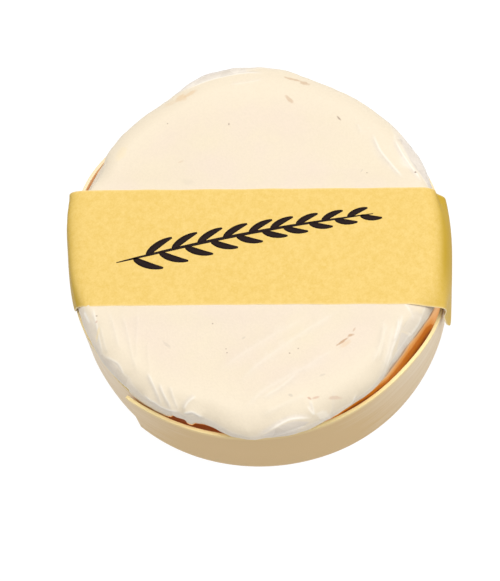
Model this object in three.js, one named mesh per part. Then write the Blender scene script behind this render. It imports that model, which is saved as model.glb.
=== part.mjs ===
// A wheel of soft goat cheese in its wrapping paper. It stands in a round veneer tray, and
// a strip of card goes over it from side to side, with its ends on the outside of the tray.
// Millimetres, +Z up. +X runs along the band, and the part stands on z = 0.

import * as THREE from 'three';
import { mergeVertices } from 'three/addons/utils/BufferGeometryUtils.js';

// Driving dimensions

// The hoop is one strip of veneer wound a little more than once round.
const hoopRadius = 57;
const hoopOval = 0.4;          // the hoop is this much wider across the band than along it
const veneer = 1;              // thickness of the strip
const rimHeight = 24.3;        // top edge of the strip above the floor
const stripStart = 231;        // angle of the strip's outer end, in degrees from +X
const stripLap = 13;           // how far the inner end runs on under the outer end, in degrees
const stepStart = 150;         // where the strip begins to draw in under its own start
const lapGap = 0.25;           // air between the two layers at the lap
const endSlant = 2.2;          // its end is cut on a slant: the foot starts later, in degrees
const endSpring = 0.9;         // how far the outer end springs away at the rim
const springArc = 26;          // over this many degrees
// Where the strip is pulled flat or stands out: angle and spread in degrees
const hoopBends = [
  { angle: 157, spread: 8, out: 0.7 },
  { angle: 187, spread: 9, out: -0.9 },
  { angle: 214, spread: 9, out: -0.4 },
];
// Where its rim leans out over its foot
const rimLeans = [{ angle: 337, spread: 9, out: 1 }];

const baseThickness = 1.5;     // the round board in the tray's bottom
const fit = 0.3;               // clearance between the pieces

// The band is one strip of card, stuck to the hoop at both ends.
const card = 0.3;
const bandWidth = 36.6;
const bandCentreY = -1.8;
const bandTop = 34.15;         // upper face of the band above the floor
const bandRight = 57.3;        // how far its sides reach from the tray's middle
const bandLeft = 56.3;
// Its two ends: height above the floor, and radius of their corners
const bandEnds = {
  right: { height: 14, corner: 5.5 },
  left: { height: 15, corner: 9 },
};
const flatRight = 49.5;        // the flat top ends here, and the shoulders begin
const flatLeft = 46;
const rightFall = 5.5;         // height of the right shoulder, which is round
const leftFall = 4;            // height of the left shoulder, which is a tighter fold
const leftLean = 1.1;          // how far the left side leans in above the rim
// How far the sides stand off the hoop at the middle and at the band's two edges
const standOff = {
  right: { middle: 0.25, far: 0.95, near: 2.1 },
  left: { middle: 0, far: 3, near: 0.4 },
};
const turnFrom = 30;           // from here outwards the card gives way towards its edges
// Where an edge of a side is pinched in: across the band from -1 at the near edge to 1 at the
// far one, at a height, how deep, and over what height and share
const pinches = {
  right: [
    { across: -1, height: 24.7, depth: 1.7, overHeight: 3.65, overShare: 0.3 },
    { across: 1, height: 30.3, depth: 1.5, overHeight: 1.9, overShare: 0.3 },
  ],
  left: [{ across: -1, height: 32.6, depth: 0.8, overHeight: 1.6, overShare: 0.35 }],
};
const droop = 1.5;             // how far the near edge sinks before the right shoulder
const droopFrom = 47;
const droopTo = 52.5;

// The wrapped cheese
const cheeseTop = 33.6;
const cheeseRadius = 56;       // widest, at the shoulder above the rim
const shoulderHeight = 27.8;   // height of the widest place
const shoulderReach = 6.5;     // how far the rounding of the top edge reaches inwards
const footRound = 2.6;         // rounding of the bottom edge
const topDip = 0.5;            // depth of the shallow hollows in the paper on the top

// Where the paper stands out from the shoulder or is drawn in: angle and spread in degrees
const shoulderSwells = [
  { angle: 90, spread: 28, out: 2.1 },
  { angle: 87, spread: 7, out: 2.3 },
  { angle: 17, spread: 6, out: -1.3 },
  { angle: 103, spread: 7, out: 1.9 },
  { angle: 158, spread: 8, out: -3.2 },
  { angle: 190, spread: 18, out: -2 },
  { angle: 256, spread: 4, out: -0.8 },
  { angle: 267, spread: 6, out: 2.3 },
  { angle: 285, spread: 9, out: 2.5 },
  { angle: 306, spread: 5, out: 1.6 },
  { angle: 325, spread: 10, out: -2.3 },
];
// Where the side of the cheese stands off the hoop, below the rim
const sideHollows = [
  { angle: 329, spread: 11, out: -3.4 },
  { angle: 255, spread: 5, out: -1.3 },
];

// Fineness of the meshes
const hoopStep = 3;            // degrees
const cheeseSegments = 144;
const bandSteps = 24;          // across the band
const bendSteps = 12;          // round each of its two bends

// Heights that follow from the dimensions
const cheeseFoot = baseThickness + fit;

const radians = THREE.MathUtils.degToRad;

function smoothRise(value, from, to) {
  return THREE.MathUtils.smoothstep(value, from, to);
}

// Sum of the rounded swells at an angle in degrees
function swell(swells, angle) {
  let sum = 0;
  for (const { angle: centre, spread, out } of swells) {
    const away = THREE.MathUtils.euclideanModulo(angle - centre + 180, 360) - 180;
    sum += out * Math.exp(-0.5 * (away / spread) ** 2);
  }
  return sum;
}

// Seams and poles are welded, and the triangles that fall together there go.
function weld(geometry) {
  geometry.deleteAttribute('normal');
  geometry.deleteAttribute('uv');
  const welded = mergeVertices(geometry, 1e-4);
  const kept = [];
  const index = welded.index.array;
  for (let i = 0; i < index.length; i += 3) {
    const [a, b, c] = [index[i], index[i + 1], index[i + 2]];
    if (a !== b && b !== c && c !== a) {
      kept.push(a, b, c);
    }
  }
  welded.setIndex(kept);
  return welded;
}

// The hoop

// Radius of the strip's outer face, at an angle that runs from stripStart to one turn and the
// lap beyond it, and at a share of the height from 0 at the foot to 1 at the rim
function stripOuterRadius(angle, share) {
  const round = hoopRadius - hoopOval * Math.cos(2 * radians(angle));
  const drawnIn = (veneer + lapGap) * smoothRise(angle, stepStart + 360, stripStart + 360 - 6);
  const left = Math.max(0, 1 - (angle - stripStart) / springArc);
  const leaning = (endSpring * left * left + swell(rimLeans, angle)) * share;
  return round + swell(hoopBends, angle) - drawnIn + leaning;
}

// Radius of the tray's inner face at any angle and share of the height, with the lap taken as
// its inner layer
function trayInnerRadius(angle, share) {
  const turned = THREE.MathUtils.euclideanModulo(angle - stripStart, 360) + stripStart;
  const inLap = turned < stripStart + stripLap + hoopStep;
  return stripOuterRadius(inLap ? turned + 360 : turned, share) - veneer;
}

function polar(radius, angle) {
  return new THREE.Vector2(radius * Math.cos(radians(angle)), radius * Math.sin(radians(angle)));
}

// A flat strip of veneer is wound round, with its inner face a veneer's thickness inwards.
function makeHoop() {
  const turn = 360 + stripLap;
  const lengths = Math.round(turn / hoopStep);
  const strip = weld(new THREE.BoxGeometry(1, 1, rimHeight, lengths, 1, 1));
  const place = strip.attributes.position;
  for (let i = 0; i < place.count; i++) {
    const z = place.getZ(i) + rimHeight / 2;
    const share = z / rimHeight;
    const late = endSlant * (1 - share);
    const angle = stripStart + late + (place.getX(i) + 0.5) * (turn - late);
    const thickness = place.getY(i) > 0 ? veneer : 0;
    const { x, y } = polar(stripOuterRadius(angle, share) - thickness, angle);
    place.setXYZ(i, x, y, z);
  }
  strip.computeVertexNormals();
  return strip;
}

// The round board in the bottom, cut to the hoop's inside

function makeBase() {
  const outline = [];
  for (let angle = 0; angle < 360; angle += hoopStep) {
    outline.push(polar(trayInnerRadius(angle, 0) - fit, angle));
  }
  return new THREE.ExtrudeGeometry(new THREE.Shape(outline), {
    depth: baseThickness,
    bevelEnabled: false,
  });
}

// The wrapped cheese

// One side of the round section, from the middle of the foot to the middle of the top
function cheeseProfile(sideRadius) {
  const profile = [];
  const footRings = 3;
  for (let i = 0; i < footRings; i++) {
    profile.push(new THREE.Vector2(((sideRadius - footRound) * i) / footRings, cheeseFoot));
  }
  const roundSteps = 3;
  for (let i = 0; i <= roundSteps; i++) {
    const turn = (Math.PI / 2) * (i / roundSteps);
    const radius = sideRadius - footRound + footRound * Math.sin(turn);
    profile.push(new THREE.Vector2(radius, cheeseFoot + footRound * (1 - Math.cos(turn))));
  }
  for (const height of [10, 16, 21, rimHeight]) {
    profile.push(new THREE.Vector2(sideRadius, height));
  }
  const brimSteps = 4;
  for (let i = 1; i <= brimSteps; i++) {
    const height = rimHeight + (shoulderHeight - rimHeight) * (i / brimSteps);
    profile.push(new THREE.Vector2(cheeseRadius, height));
  }
  const shoulderSteps = 6;
  for (let i = 1; i <= shoulderSteps; i++) {
    const turn = (Math.PI / 2) * (i / shoulderSteps);
    const radius = cheeseRadius - shoulderReach * (1 - Math.cos(turn));
    const height = shoulderHeight + (cheeseTop - shoulderHeight) * Math.sin(turn);
    profile.push(new THREE.Vector2(radius, height));
  }
  for (const radius of [43, 35, 26, 17, 8, 0]) {
    profile.push(new THREE.Vector2(radius, cheeseTop));
  }
  return profile;
}

// Gentle hollows of the paper on the top, from 0 to 1
function hollow(x, y) {
  const long = Math.sin(0.11 * x - 0.07 * y + 0.6);
  const across = Math.sin(0.05 * x + 0.13 * y - 1.1);
  return 0.5 + 0.5 * long * across;
}

function makeCheese() {
  const sideRadius = hoopRadius - veneer - fit;
  const lathe = new THREE.LatheGeometry(cheeseProfile(sideRadius), cheeseSegments);
  const wheel = weld(lathe.rotateX(Math.PI / 2));
  const place = wheel.attributes.position;
  for (let i = 0; i < place.count; i++) {
    const x = place.getX(i);
    const y = place.getY(i);
    const z = place.getZ(i);
    const radius = Math.hypot(x, y);
    if (radius < 1e-3) {
      continue;
    }
    const angle = THREE.MathUtils.radToDeg(Math.atan2(y, x));
    const aboveRim = smoothRise(z, rimHeight, shoulderHeight);
    const share = Math.min(z / rimHeight, 1);
    const side = trayInnerRadius(angle, share) - fit + swell(sideHollows, angle);
    const brim = cheeseRadius + swell(shoulderSwells, angle);
    const wanted = THREE.MathUtils.lerp(side, brim, aboveRim);
    const drawn = z > rimHeight ? cheeseRadius : sideRadius;
    const outward = 1 + (wanted / drawn - 1) * (radius / drawn) ** 3;
    const onTop = smoothRise(z, shoulderHeight, cheeseTop);
    place.setXYZ(i, x * outward, y * outward, z - topDip * hollow(x, y) * onTop);
  }
  wheel.computeVertexNormals();
  return wheel;
}

// The card band

// Middle line of the card, seen along the band's width: up the right side, across the top and
// down the left side
function bandLine() {
  const top = bandTop - card / 2;
  const leanLeft = leftLean - bandLeft;
  const line = new THREE.Path();
  const { right, left } = bandEnds;
  line.moveTo(bandRight, right.height);
  line.lineTo(bandRight, (right.height + rimHeight) / 2);
  line.lineTo(bandRight, rimHeight);
  line.bezierCurveTo(bandRight, top - rightFall, bandRight - 2, top, flatRight, top);
  line.lineTo(droopFrom, top);
  line.lineTo(-flatLeft, top);
  line.bezierCurveTo(-flatLeft - 5, top, leanLeft, top, leanLeft, top - leftFall);
  line.lineTo(-bandLeft, rimHeight);
  line.lineTo(-bandLeft, (left.height + rimHeight) / 2);
  line.lineTo(-bandLeft, left.height);
  return line;
}

// The line moved sideways by a distance: its points keep their number and order.
function offsetLine(points, distance) {
  return points.map((point, i) => {
    const before = points[Math.max(i - 1, 0)];
    const after = points[Math.min(i + 1, points.length - 1)];
    const along = after.clone().sub(before).normalize();
    return new THREE.Vector2(point.x + along.y * distance, point.y - along.x * distance);
  });
}

// How far the hoop reaches to one side at a place across the band
function hoopReach(side, y) {
  const angle = THREE.MathUtils.radToDeg(Math.atan2(y, side * hoopRadius));
  const turned = THREE.MathUtils.euclideanModulo(angle - stripStart, 360) + stripStart;
  return Math.sqrt(stripOuterRadius(turned, 1) ** 2 - y ** 2);
}

// How far a side of the band draws in from its full reach. Its middle lies near the round
// hoop, and its edges stand off it.
function bandDrawIn(side, y, z) {
  const across = (y - bandCentreY) / (bandWidth / 2);
  const { middle, far, near } = side < 0 ? standOff.left : standOff.right;
  const off = middle + (across > 0 ? far : near) * across ** 2;
  const reach = side < 0 ? bandLeft : bandRight;
  let drawIn = reach - (hoopReach(side, y) + fit + card / 2 + off);
  for (const pinch of side < 0 ? pinches.left : pinches.right) {
    const awayUp = (z - pinch.height) / pinch.overHeight;
    const awayAcross = (across - pinch.across) / pinch.overShare;
    drawIn += pinch.depth * Math.exp(-(awayUp ** 2) - awayAcross ** 2);
  }
  return drawIn;
}

// How much of its full length a side of the band keeps below the rim, for its ends are rounded.
function endShare(side, across) {
  const { height, corner } = side < 0 ? bandEnds.left : bandEnds.right;
  const fromStart = Math.abs(across) * (bandWidth / 2) - (bandWidth / 2 - corner);
  const round = Math.max(0, fromStart) / corner;
  const cut = corner * (1 - Math.sqrt(Math.max(0, 1 - round ** 2)));
  return 1 - cut / (rimHeight - height);
}

// A flat strip of card is bent along its line, and then its edges are let stand off or sink.
function makeBand() {
  const middle = bandLine().getPoints(bendSteps);
  const outside = offsetLine(middle, card / 2);
  const inside = offsetLine(middle, -card / 2);
  const lengths = middle.length - 1;
  const strip = weld(new THREE.BoxGeometry(1, bandWidth, 1, lengths, bandSteps, 1));
  const place = strip.attributes.position;
  for (let i = 0; i < place.count; i++) {
    const across = (2 * place.getY(i)) / bandWidth;
    const y = place.getY(i) + bandCentreY;
    const face = place.getZ(i) > 0 ? outside : inside;
    const { x, y: height } = face[Math.round((0.5 - place.getX(i)) * lengths)];
    const side = Math.sign(x);
    const z = height + Math.max(0, rimHeight - height) * (1 - endShare(side, across));
    const drawIn = bandDrawIn(side, y, z) * smoothRise(Math.abs(x), turnFrom, hoopRadius);
    const onTop = smoothRise(z, bandTop - 4, bandTop) * smoothRise(x, droopFrom, droopTo);
    const sunk = droop * Math.max(0, -across) ** 3 * onTop;
    place.setXYZ(i, x - side * drawIn, y, z - sunk);
  }
  strip.computeVertexNormals();
  return strip;
}

// The pieces and their finishes

function piece(name, geometry, colour, roughness) {
  const finish = new THREE.MeshStandardMaterial({ color: colour, roughness, metalness: 0 });
  const mesh = new THREE.Mesh(geometry, finish);
  mesh.name = name;
  return mesh;
}

const part = new THREE.Group();
part.add(piece('tray_base', makeBase(), '#cbb083', 0.8));
part.add(piece('tray_hoop', makeHoop(), '#d8bd92', 0.75));
part.add(piece('wrapped_cheese', makeCheese(), '#faebd2', 0.5));
part.add(piece('paper_band', makeBand(), '#f0cb74', 0.7));

// The origin goes to the middle of the box round the whole part, at its foot.
const box = new THREE.Box3().setFromObject(part);
const middle = box.getCenter(new THREE.Vector3());
part.position.set(-middle.x, -middle.y, -box.min.z);

export default part;
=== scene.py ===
import math

import bmesh
import bpy
import numpy as np
from mathutils import Matrix, Vector, noise
from mathutils.bvhtree import BVHTree


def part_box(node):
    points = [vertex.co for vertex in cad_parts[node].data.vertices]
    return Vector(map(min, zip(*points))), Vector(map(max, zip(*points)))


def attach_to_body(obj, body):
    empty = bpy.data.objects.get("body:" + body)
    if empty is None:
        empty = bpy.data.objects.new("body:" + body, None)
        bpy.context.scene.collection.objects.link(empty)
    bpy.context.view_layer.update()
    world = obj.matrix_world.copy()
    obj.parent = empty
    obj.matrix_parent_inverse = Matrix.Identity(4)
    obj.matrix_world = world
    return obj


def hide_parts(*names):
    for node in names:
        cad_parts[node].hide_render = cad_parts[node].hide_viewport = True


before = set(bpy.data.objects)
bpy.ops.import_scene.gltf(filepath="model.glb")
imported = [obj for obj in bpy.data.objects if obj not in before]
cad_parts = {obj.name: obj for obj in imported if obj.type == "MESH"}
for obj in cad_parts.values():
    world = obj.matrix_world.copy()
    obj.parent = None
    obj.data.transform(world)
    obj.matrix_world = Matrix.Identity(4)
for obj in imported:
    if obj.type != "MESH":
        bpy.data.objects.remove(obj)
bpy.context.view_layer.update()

# The tray's hoop: one long strip of poplar veneer, wound a little more than once round and
# glued where its ends lap. Its outer end springs away a little at the near left.
# Shapes are worked out in millimetres from the tray's middle, and then put in the frame.
hoop_radius = 57.0
hoop_oval = 0.4             # wider across the band than along it, by this much
veneer = 1.0
rim_height = 24.3
strip_start = 231.0         # angle of the strip's outer end, in degrees from +X
strip_lap = 13.0            # how far its inner end runs on under the outer end
step_start = 150.0          # where it begins to draw in under its own start
step_end = 225.0
lap_gap = 0.25
end_slant = 1.0             # its end is cut on a slant: the foot starts later, in degrees
end_spring = 0.9            # how far the outer end springs away at the rim
spring_arc = 26.0
# Where it is pulled flat or stands out, and where its rim or its foot leans out: each an
# angle, its spread and how far out
hoop_bends = [(150, 6, 0.4), (157, 8, 0.7), (187, 9, -0.9), (214, 9, -0.4)]
rim_leans = [(337, 9, 1.0)]
foot_leans = [(306, 18, 0.6)]
strip_cuts_along = 420
strip_cuts_high = 11
strip_edge_wear = 0.14
strip_sharp = 30            # from this turn between two faces, in degrees, the edge is sharp
# Painted shade and light on the wood, each an angle, its spread and how far toward the darker warm
# tone: darker in front, paler at the near right and at the left
painted_light_and_shade_sectors = [(275, 30, 1.05), (325, 16, -0.15), (216, 14, -0.25)]
dull_rims = [(160, 22, 0.75), (12, 16, 0.85)]   # where the cut along the rim is not so fresh
veneer_pale = (0.86, 0.725, 0.545, 1)
veneer_warm_and_shaded = (0.665, 0.46, 0.215, 1)
veneer_cut = (0.94, 0.755, 0.37, 1)
# The hoop's inside is painted orange-brown for the shade and bounced light in it, and glows as
# painted light
veneer_inside_painted = (0.60, 0.41, 0.20, 1)
veneer_painted_glow = 0.28         # strength of the painted glow on the hoop's inside, as if light came through the thin wood
veneer_warmth = 0.10        # how far the wood is toward its warm tone all round
hoop_foot_painted_shade = 0.20          # and how much more at its foot, as painted shade
cut_depth = 0.25            # the fresh cut shows down to here below the rim
veneer_unevenness = 0.05
rim_wave = 0.08

MM = 0.001
hoop_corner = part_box("tray_hoop")[1]
tray_middle = Vector((
    hoop_corner.x - (hoop_radius - hoop_oval) * MM,
    hoop_corner.y - (hoop_radius + hoop_oval) * MM,
    0,
))
tray_place = Matrix.Translation(tray_middle) @ Matrix.Scale(MM, 4)


def rise(value, start, end):
    """0 before start, 1 after end, and a smooth slope between them."""
    share = np.clip((value - start) / (end - start), 0, 1)
    return share * share * (3 - 2 * share)


def swell(places, angle):
    """Sum of soft bulges round the tray, each an angle, its spread and how far out it goes."""
    total = 0 * angle
    for middle, spread, out in places:
        away = (angle - middle + 180) % 360 - 180
        total = total + out * np.exp(-0.5 * (away / spread) ** 2)
    return total


def strip_radius(turned, share=1.0):
    """Radius of the strip's outer face. The angle runs on past one turn, and the share of the
    height is 0 at the foot and 1 at the rim."""
    oval = hoop_radius - hoop_oval * np.cos(2 * np.radians(turned))
    drawn_in = (veneer + lap_gap) * rise(turned, step_start + 360, step_end + 360)
    left = np.maximum(0, 1 - (turned - strip_start) / spring_arc)
    leaning = (end_spring * left ** 2 + swell(rim_leans, turned)) * share
    leaning = leaning + swell(foot_leans, turned) * (1 - share)
    return oval + swell(hoop_bends, turned) - drawn_in + leaning


def soft_noise(x, y, z=0.0):
    return noise.noise(Vector((x, y, z)))


def vertex_array(bm):
    return np.array([v.co for v in bm.verts])


def move_vertices(bm, places):
    for v, place in zip(bm.verts, places):
        v.co = place


def put_in_scene(name, data):
    thing = bpy.data.objects.new(name, data)
    bpy.context.scene.collection.objects.link(thing)
    return thing


def add_piece(name, bm, material, slot, *stands_for):
    """Makes the object of a finished shape, in the frame, and lets it ride with the part."""
    bm.normal_update()
    mesh = bpy.data.meshes.new(name)
    bm.to_mesh(mesh)
    bm.free()
    mesh.transform(tray_place)
    mesh.shade_smooth()
    mesh.materials.append(material)
    piece = put_in_scene(name, mesh)
    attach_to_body(piece, "root")
    if stands_for:
        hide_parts(*stands_for)
    return piece


def wire(tree, kind, inputs=None, **settings):
    """Adds a shader node. An input's value is a number, a colour or another node's socket."""
    node = tree.nodes.new(kind)
    for setting, value in settings.items():
        setattr(node, setting, value)
    for socket, value in (inputs or {}).items():
        if isinstance(value, bpy.types.NodeSocket):
            tree.links.new(value, node.inputs[socket])
        else:
            node.inputs[socket].default_value = value
    return node


def blend_colours(tree, share, first, second, blend_type="MIX"):
    return wire(tree, "ShaderNodeMix", {0: share, 6: first, 7: second},
                data_type="RGBA", blend_type=blend_type).outputs[2]


def spread_range(tree, value, low, high, to_low=0.0, to_high=1.0):
    return wire(tree, "ShaderNodeMapRange", {
        "Value": value, "From Min": low, "From Max": high, "To Min": to_low, "To Max": to_high,
    }, interpolation_type="SMOOTHSTEP").outputs["Result"]


def maths(tree, operation, first, second, third=0.0):
    return wire(tree, "ShaderNodeMath", {0: first, 1: second, 2: third},
                operation=operation).outputs[0]


def vector_maths(tree, operation, first, second):
    return wire(tree, "ShaderNodeVectorMath", {0: first, 1: second},
                operation=operation).outputs[0]


def noise_texture(tree, place, scale, detail=2.0, roughness=0.5, **inputs):
    return wire(tree, "ShaderNodeTexNoise", {
        "Vector": place, "Scale": scale, "Detail": detail, "Roughness": roughness, **inputs,
    }).outputs


def mark(tree, name, output="Fac"):
    """What the mesh's vertices carry under a name."""
    return wire(tree, "ShaderNodeAttribute", attribute_name=name).outputs[output]


def place_on_part(tree):
    return wire(tree, "ShaderNodeTexCoord").outputs["Object"]


def new_group(name, inputs, outputs):
    """A shader node group. It is given numbers and vectors by name, and puts out numbers."""
    group = bpy.data.node_groups.new(name, "ShaderNodeTree")
    for socket, value in inputs.items():
        kind = "NodeSocketVector" if isinstance(value, tuple) else "NodeSocketFloat"
        made = group.interface.new_socket(socket, in_out="INPUT", socket_type=kind)
        made.default_value = value
    for socket in outputs:
        group.interface.new_socket(socket, in_out="OUTPUT", socket_type="NodeSocketFloat")
    start = group.nodes.new("NodeGroupInput")
    end = group.nodes.new("NodeGroupOutput")
    return group, start.outputs, end.inputs


def place_group(tree, group, inputs):
    return wire(tree, "ShaderNodeGroup", inputs, node_tree=group).outputs


def new_material(name, values):
    """A material with a Principled BSDF, which has these values and is returned with it."""
    material = bpy.data.materials.new(name)
    material.use_nodes = True
    shader = material.node_tree.nodes["Principled BSDF"]
    for socket, value in values.items():
        shader.inputs[socket].default_value = value
    return material, material.node_tree, shader


def attach(tree, shader, colour, roughness=None, height=None, bump=0.2, depth=0.0001):
    tree.links.new(colour, shader.inputs["Base Color"])
    if roughness is not None:
        tree.links.new(roughness, shader.inputs["Roughness"])
    if height is not None:
        relief = wire(tree, "ShaderNodeBump", {
            "Height": height, "Strength": bump, "Distance": depth,
        })
        tree.links.new(relief.outputs["Normal"], shader.inputs["Normal"])


def build_grain_group():
    """Wood grain that runs along the first of three lengths in millimetres."""
    group, given, result = new_group(
        "Veneer grain", {"Place": (0, 0, 0), "Streak Length": 28.0}, ["Tone", "Height"]
    )
    short = maths(group, "DIVIDE", 1.0, given["Streak Length"])
    stretch = wire(group, "ShaderNodeCombineXYZ", {"X": short, "Y": 0.55, "Z": 0.55})
    broad = vector_maths(group, "MULTIPLY", given["Place"], stretch.outputs[0])
    bands = noise_texture(group, broad, 1.0, 5.0, 0.6, Distortion=0.4)
    fine = vector_maths(group, "MULTIPLY", broad, (2.4, 7.0, 7.0))
    pores = noise_texture(group, fine, 1.0, 3.0, 0.7)
    soft = maths(group, "MULTIPLY", bands["Fac"], 0.65)
    sharp = maths(group, "MULTIPLY", pores["Fac"], 0.35)
    tone = maths(group, "ADD", soft, sharp)
    group.links.new(spread_range(group, tone, 0.36, 0.64), result["Tone"])
    group.links.new(pores["Fac"], result["Height"])
    return group


grain_group = build_grain_group()


def make_veneer():
    """Pale poplar with a fresh cut along the rim: darker and yellower in front and at the foot as
    painted shade, paler at the left and near right as painted light.
    """
    material, tree, shader = new_material("Poplar veneer", {
        "Roughness": 0.62, "Emission Strength": veneer_painted_glow,
    })
    grain = place_group(tree, grain_group, {
        "Place": mark(tree, "strip_place", "Vector"), "Streak Length": 26.0,
    })
    streaks = maths(tree, "MULTIPLY", grain["Tone"], 0.30)
    share = maths(tree, "ADD", streaks, mark(tree, "tone_and_painted_shade"))
    wood = blend_colours(tree, share, veneer_pale, veneer_warm_and_shaded)
    wood = blend_colours(tree, mark(tree, "cut_edge"), wood, veneer_cut)
    # Painted shade and glow on the hoop's inside: its colour and its emission
    inside = mark(tree, "inside")
    wood = blend_colours(tree, inside, wood, veneer_inside_painted)
    painted_glow_colour = blend_colours(tree, inside, (0, 0, 0, 1), veneer_inside_painted)
    tree.links.new(painted_glow_colour, shader.inputs["Emission Color"])
    attach(tree, shader, wood, height=grain["Height"], bump=0.25, depth=0.00008)
    return material


def bend_strip(bm):
    """Winds the straight strip into the hoop. Its length runs along x and its outer face is +y."""
    place_layer = bm.verts.layers.float_vector.new("strip_place")
    tone_and_shade_layer = bm.verts.layers.float.new("tone_and_painted_shade")
    cut_layer = bm.verts.layers.float.new("cut_edge")
    inside_glow_layer = bm.verts.layers.float.new("inside")
    per_degree = math.radians(1) * hoop_radius
    for v in bm.verts:
        along, outward, height = v.co
        share = height / rim_height
        late = end_slant * (1 - share) * (1 - along / strip_length)
        turned = strip_start + along / per_degree + late
        swing = math.radians(turned)
        unevenness = veneer_unevenness * soft_noise(along * 0.05, height * 0.25, outward)
        radius = strip_radius(turned, share) - veneer + outward + unevenness
        v[place_layer] = Vector((along, height, outward))
        below_rim = rim_height - height
        # The wood's own warm tone all round, with painted shade in front and at the foot and painted
        # light at the left and near right
        tone_and_painted_shade = veneer_warmth + swell(painted_light_and_shade_sectors, turned) + hoop_foot_painted_shade * rise(height, 20, 2)
        v[tone_and_shade_layer] = float(tone_and_painted_shade)
        v[cut_layer] = float(rise(below_rim, cut_depth, 0.05) * (1 - swell(dull_rims, turned)))
        # The hoop's inside is marked for its painted shade and glow
        v[inside_glow_layer] = float(rise(outward, 0.5, 0.1) * rise(below_rim, 0, 0.8))
        wave = rim_wave * soft_noise(along * 0.06, 7.0) * float(rise(height, 18, rim_height))
        v.co = (radius * math.cos(swing), radius * math.sin(swing), height + wave)


def edges_along(bm, axis, shortest):
    """Edges that run along x, y or z and are at least so long."""
    found = []
    for edge in bm.edges:
        run = edge.verts[1].co - edge.verts[0].co
        if abs(run[axis]) > shortest and run.length - abs(run[axis]) < 1e-4:
            found.append(edge)
    return found


def straight_strip(size, middle, wear, cuts):
    """A straight strip with worn edges. Each of its cuts is an axis and how many there are."""
    bm = bmesh.new()
    bmesh.ops.create_cube(bm, size=1)
    bmesh.ops.scale(bm, vec=size, verts=bm.verts)
    bmesh.ops.translate(bm, vec=middle, verts=bm.verts)
    bmesh.ops.bevel(
        bm, geom=bm.edges[:], offset=wear, segments=2, affect="EDGES", profile=0.5, material=-1,
    )
    for axis, count in cuts:
        long_edges = edges_along(bm, axis, size[axis] / 2)
        bmesh.ops.subdivide_edges(bm, edges=long_edges, cuts=count, use_grid_fill=True)
    return bm


strip_length = math.radians(360 + strip_lap) * hoop_radius
bm = straight_strip(
    (strip_length, veneer, rim_height), (strip_length / 2, veneer / 2, rim_height / 2),
    strip_edge_wear, [(2, strip_cuts_high), (0, strip_cuts_along)],
)
bend_strip(bm)
bmesh.ops.recalc_face_normals(bm, faces=bm.faces)
hoop = add_piece("veneer_hoop", bm, make_veneer(), "veneer", "tray_hoop")
hoop.data.set_sharp_from_angle(angle=math.radians(strip_sharp))

# The tray's board: a round of the same veneer, pressed into the bottom of the hoop. It keeps
# the solid's shape, and gets straight grain across the tray.
board_pale = (0.80, 0.64, 0.42, 1)
board_warm = (0.62, 0.43, 0.23, 1)


def make_board():
    material, tree, shader = new_material("Tray board", {"Roughness": 0.7})
    in_millimetres = wire(tree, "ShaderNodeMapping", {
        "Vector": place_on_part(tree), "Scale": (1 / MM,) * 3,
    })
    grain = place_group(tree, grain_group, {
        "Place": in_millimetres.outputs[0], "Streak Length": 40.0,
    })
    wood = blend_colours(tree, grain["Tone"], board_pale, board_warm)
    attach(tree, shader, wood, height=grain["Height"], bump=0.3, depth=0.0001)
    return material


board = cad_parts["tray_base"]
board.data.materials.clear()
board.data.materials.append(make_board())

# The wrapped cheese: a soft round cheese in thin waxed paper, which is drawn tight over the
# top and gathered in folds at the shoulder and down the side. The cheese's rind has left a
# few stains in the paper. Where the paper stands free of it, it is greyed as painted shade.
cheese_top = 33.6
cheese_radius = 56.0
shoulder_height = 27.8
shoulder_reach = 6.5
foot_round = 2.6
cheese_foot = 1.8
fit = 0.3
top_dip = 0.5
band_width = 37.2           # the band over the paper: its width, middle and top
band_middle = -1.8
band_top = 34.15
near_droop = 1.7            # how far its near edge sinks before the right shoulder
droop_from = 45.0
droop_to = 52.0
left_sink = 0.5             # how far its edges sink at the left shoulder
left_sink_from = -43.0
left_sink_over = 6.5
edge_draw = 1.6             # how far its near edge is drawn in at the right shoulder
shoulder_swells = [
    (17, 6, -1.3), (90, 28, 2.1), (87, 7, 2.3), (103, 7, 1.9), (118, 5, -0.5), (133, 6, -0.7),
    (158, 8, -3.5), (190, 18, -2.0), (258, 4, -0.8), (268, 6, 2.3), (283, 8, 2.3),
    (306, 5, 0.3), (325, 10, -2.3),
]
side_hollows = [(158, 8, -0.8), (302, 9, -0.5), (329, 11, -3.4), (257, 5, -1.3)]
# Where a loose fold lies out over the shoulder, and the heights where it starts, is full, is
# full no more and ends
flaps = [(107, 6, 1.5), (96, 4, 0.6)]
flap_heights = (28.3, 30.6, 31.9, 32.5)
# Where the paper hangs down close over the rim: from one angle to another
hangs = [(231.5, 246.3), (251.0, 253.0)]
hang_radius = 56.15
hang_soft = 0.4             # half the angle over which it starts and ends
wheel_steps = 120
wheel_cuts = 3              # each of its steps is divided again by this many cuts
paper_cream = (0.775, 0.668, 0.50, 1)
paper_peach = (0.77, 0.648, 0.525, 1)
paper_painted_shade = (0.63, 0.56, 0.485, 1)
paper_painted_shade_pale = (0.77, 0.695, 0.61, 1)
paper_painted_light = (0.79, 0.685, 0.525, 1)
paper_painted_highlight = (0.95, 0.90, 0.81, 1)
glow_cream = (0.66, 0.50, 0.31, 1)
glow_gold = (0.58, 0.30, 0.075, 1)
glow_orange = (0.42, 0.128, 0.002, 1)
gap_painted_shade = (0.17, 0.030, 0.002, 1)
paper_painted_glow = 0.70           # strength of the painted glow, as if light came through the cheese's side


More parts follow.
